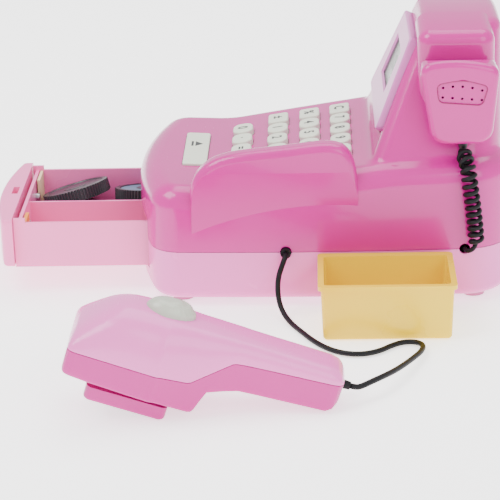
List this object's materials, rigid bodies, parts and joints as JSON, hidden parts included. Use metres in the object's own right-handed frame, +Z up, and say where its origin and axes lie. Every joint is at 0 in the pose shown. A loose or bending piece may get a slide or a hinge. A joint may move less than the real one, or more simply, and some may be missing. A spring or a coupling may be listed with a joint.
{
  "type": "toy cash register",
  "caption": "Toy cash register with sprung keys, a pull-out money drawer, display tower, hang-up microphone, hand scanner on a cord and a hook-on side bin.",
  "frame": {"origin": "on the floor under the middle of the register, at the centre of its middle foot", "axes": "+Z up, -Y towards the user (the drawer opens along -Y), +X the register's right side, with the bin, the microphone and the scanner"},
  "size_m": [0.3317, 0.3321, 0.1714],
  "materials": {
    "pink_gloss": "glossy moulded plastic, strong pink",
    "pink_pale": "glossy moulded plastic, pale pink",
    "drawer_pink": "glossy moulded plastic, light pink",
    "bezel_pink": "satin moulded plastic, lilac pink",
    "key_white": "satin off-white plastic",
    "bin_yellow": "glossy yellow plastic",
    "trigger_clear": "translucent pale plastic",
    "black_plastic": "matt black plastic",
    "cord_black": "soft black cord sheath",
    "rubber_grey": "matt grey rubber",
    "rubber_pink": "soft pale pink rubber",
    "steel": "plated steel",
    "board_green": "coated circuit board",
    "lcd_grey": "grey-green liquid crystal panel",
    "clear_window": "clear plastic window",
    "coin_grey": "dark grey play coin",
    "card_cream": "printed card"
  },
  "bodies": {
    "register": {"lower_housing": "pink_pale", "upper_housing": "pink_gloss", "rubber_feet": "rubber_pink", "housing_screws": "steel", "battery_door": "pink_pale", "batteries": "black_plastic", "battery_contacts": "steel", "display_bezel": "bezel_pink", "display_window": "clear_window", "lcd_panel": "lcd_grey", "main_board": "board_green", "key_membrane": "rubber_grey", "speaker": "black_plastic", "switch_body": "black_plastic", "drawer_spring": "steel", "latch_bracket": "steel", "scanner_cord": "cord_black", "mic_cord": "cord_black", "mic_cord_ends": "cord_black", "scanner_cord_gland": "cord_black"},
    "drawer": {"drawer_tray": "drawer_pink", "drawer_front": "drawer_pink", "drawer_screws": "steel", "play_coins": "coin_grey", "play_cards": "card_cream"},
    "opening_key": {"open_key": "key_white"},
    "latch": {"latch_lever": "key_white"},
    "switch": {"power_switch": "key_white"},
    "bin": {"side_bin": "bin_yellow"},
    "microphone": {"mic_front_shell": "pink_gloss", "mic_rear_shell": "pink_gloss", "mic_capsule": "black_plastic", "mic_cord_boot": "black_plastic"},
    "scanner": {"scanner_top_shell": "pink_pale", "scanner_bottom_shell": "pink_gloss", "scanner_lens_frame": "pink_gloss", "scanner_window": "clear_window", "scanner_board": "board_green", "scanner_screws": "steel", "scanner_cord_boot": "cord_black"},
    "trigger": {"scanner_trigger": "trigger_clear"},
    "key_1_1_body": {"key_1_1": "key_white"},
    "key_1_2_body": {"key_1_2": "key_white"},
    "key_1_3_body": {"key_1_3": "key_white"},
    "key_1_4_body": {"key_1_4": "key_white"},
    "key_2_1_body": {"key_2_1": "key_white"},
    "key_2_2_body": {"key_2_2": "key_white"},
    "key_2_3_body": {"key_2_3": "key_white"},
    "key_2_4_body": {"key_2_4": "key_white"},
    "key_2_5_body": {"key_2_5": "key_white"},
    "key_3_1_body": {"key_3_1": "key_white"},
    "key_3_2_body": {"key_3_2": "key_white"},
    "key_3_3_body": {"key_3_3": "key_white"},
    "key_3_4_body": {"key_3_4": "key_white"},
    "key_3_5_body": {"key_3_5": "key_white"},
    "key_4_1_body": {"key_4_1": "key_white"},
    "key_4_2_body": {"key_4_2": "key_white"},
    "key_4_3_body": {"key_4_3": "key_white"},
    "key_4_4_body": {"key_4_4": "key_white"},
    "key_4_5_body": {"key_4_5": "key_white"}
  },
  "joints": [
    {"name": "drawer_slide", "type": "slide", "parent": "register", "child": "drawer", "axis": [0, -1, 0], "range_m": [-0.093, 0], "stiffness_N_per_m": 6},
    {"name": "open_key_press", "type": "slide", "parent": "register", "child": "opening_key", "axis": [0, -0.0543, -0.9985], "range_m": [0, 0.003], "stiffness_N_per_m": 300, "springref_m": -0.001},
    {"name": "latch_pivot", "type": "hinge", "parent": "register", "child": "latch", "pos_m": [0, -0.098, 0.0615], "axis": [-1, 0, 0], "range_deg": [0, 12.5]},
    {"name": "power_switch_slide", "type": "slide", "parent": "register", "child": "switch", "axis": [0, 1, 0], "range_m": [0, 0.007]},
    {"name": "bin_lift", "type": "slide", "parent": "register", "child": "bin", "axis": [0, 0, 1], "range_m": [0, 0.04]},
    {"name": "microphone_pull", "type": "slide", "parent": "register", "child": "microphone", "axis": [1, 0, 0], "range_m": [0, 0.04]},
    {"name": "scanner_lift", "type": "slide", "parent": "register", "child": "scanner", "axis": [0, 0, 1], "range_m": [0, 0.12]},
    {"name": "trigger_press", "type": "slide", "parent": "scanner", "child": "trigger", "axis": [0, -0.3173, -0.9483], "range_m": [0, 0.002], "stiffness_N_per_m": 400, "springref_m": -0.001},
    {"name": "key_1_1_press", "type": "slide", "parent": "register", "child": "key_1_1_body", "axis": [0, 0.1483, -0.9889], "range_m": [0, 0.0025], "stiffness_N_per_m": 200, "springref_m": -0.001},
    {"name": "key_1_2_press", "type": "slide", "parent": "register", "child": "key_1_2_body", "axis": [0, 0.1483, -0.9889], "range_m": [0, 0.0025], "stiffness_N_per_m": 200, "springref_m": -0.001},
    {"name": "key_1_3_press", "type": "slide", "parent": "register", "child": "key_1_3_body", "axis": [0, 0.1483, -0.9889], "range_m": [0, 0.0025], "stiffness_N_per_m": 200, "springref_m": -0.001},
    {"name": "key_1_4_press", "type": "slide", "parent": "register", "child": "key_1_4_body", "axis": [0, 0.1483, -0.9889], "range_m": [0, 0.0025], "stiffness_N_per_m": 200, "springref_m": -0.001},
    {"name": "key_2_1_press", "type": "slide", "parent": "register", "child": "key_2_1_body", "axis": [0, 0.1483, -0.9889], "range_m": [0, 0.0025], "stiffness_N_per_m": 200, "springref_m": -0.001},
    {"name": "key_2_2_press", "type": "slide", "parent": "register", "child": "key_2_2_body", "axis": [0, 0.1483, -0.9889], "range_m": [0, 0.0025], "stiffness_N_per_m": 200, "springref_m": -0.001},
    {"name": "key_2_3_press", "type": "slide", "parent": "register", "child": "key_2_3_body", "axis": [0, 0.1483, -0.9889], "range_m": [0, 0.0025], "stiffness_N_per_m": 200, "springref_m": -0.001},
    {"name": "key_2_4_press", "type": "slide", "parent": "register", "child": "key_2_4_body", "axis": [0, 0.1483, -0.9889], "range_m": [0, 0.0025], "stiffness_N_per_m": 200, "springref_m": -0.001},
    {"name": "key_2_5_press", "type": "slide", "parent": "register", "child": "key_2_5_body", "axis": [0, 0.1483, -0.9889], "range_m": [0, 0.0025], "stiffness_N_per_m": 200, "springref_m": -0.001},
    {"name": "key_3_1_press", "type": "slide", "parent": "register", "child": "key_3_1_body", "axis": [0, 0.1483, -0.9889], "range_m": [0, 0.0025], "stiffness_N_per_m": 200, "springref_m": -0.001},
    {"name": "key_3_2_press", "type": "slide", "parent": "register", "child": "key_3_2_body", "axis": [0, 0.1483, -0.9889], "range_m": [0, 0.0025], "stiffness_N_per_m": 200, "springref_m": -0.001},
    {"name": "key_3_3_press", "type": "slide", "parent": "register", "child": "key_3_3_body", "axis": [0, 0.1483, -0.9889], "range_m": [0, 0.0025], "stiffness_N_per_m": 200, "springref_m": -0.001},
    {"name": "key_3_4_press", "type": "slide", "parent": "register", "child": "key_3_4_body", "axis": [0, 0.1483, -0.9889], "range_m": [0, 0.0025], "stiffness_N_per_m": 200, "springref_m": -0.001},
    {"name": "key_3_5_press", "type": "slide", "parent": "register", "child": "key_3_5_body", "axis": [0, 0.1483, -0.9889], "range_m": [0, 0.0025], "stiffness_N_per_m": 200, "springref_m": -0.001},
    {"name": "key_4_1_press", "type": "slide", "parent": "register", "child": "key_4_1_body", "axis": [0, 0.1483, -0.9889], "range_m": [0, 0.0025], "stiffness_N_per_m": 200, "springref_m": -0.001},
    {"name": "key_4_2_press", "type": "slide", "parent": "register", "child": "key_4_2_body", "axis": [0, 0.1483, -0.9889], "range_m": [0, 0.0025], "stiffness_N_per_m": 200, "springref_m": -0.001},
    {"name": "key_4_3_press", "type": "slide", "parent": "register", "child": "key_4_3_body", "axis": [0, 0.1483, -0.9889], "range_m": [0, 0.0025], "stiffness_N_per_m": 200, "springref_m": -0.001},
    {"name": "key_4_4_press", "type": "slide", "parent": "register", "child": "key_4_4_body", "axis": [0, 0.1483, -0.9889], "range_m": [0, 0.0025], "stiffness_N_per_m": 200, "springref_m": -0.001},
    {"name": "key_4_5_press", "type": "slide", "parent": "register", "child": "key_4_5_body", "axis": [0, 0.1483, -0.9889], "range_m": [0, 0.0025], "stiffness_N_per_m": 200, "springref_m": -0.001}
  ],
  "couplings": [
    {"joint": "latch_pivot", "follows": "open_key_press", "rad_per_m": 70}
  ]
}
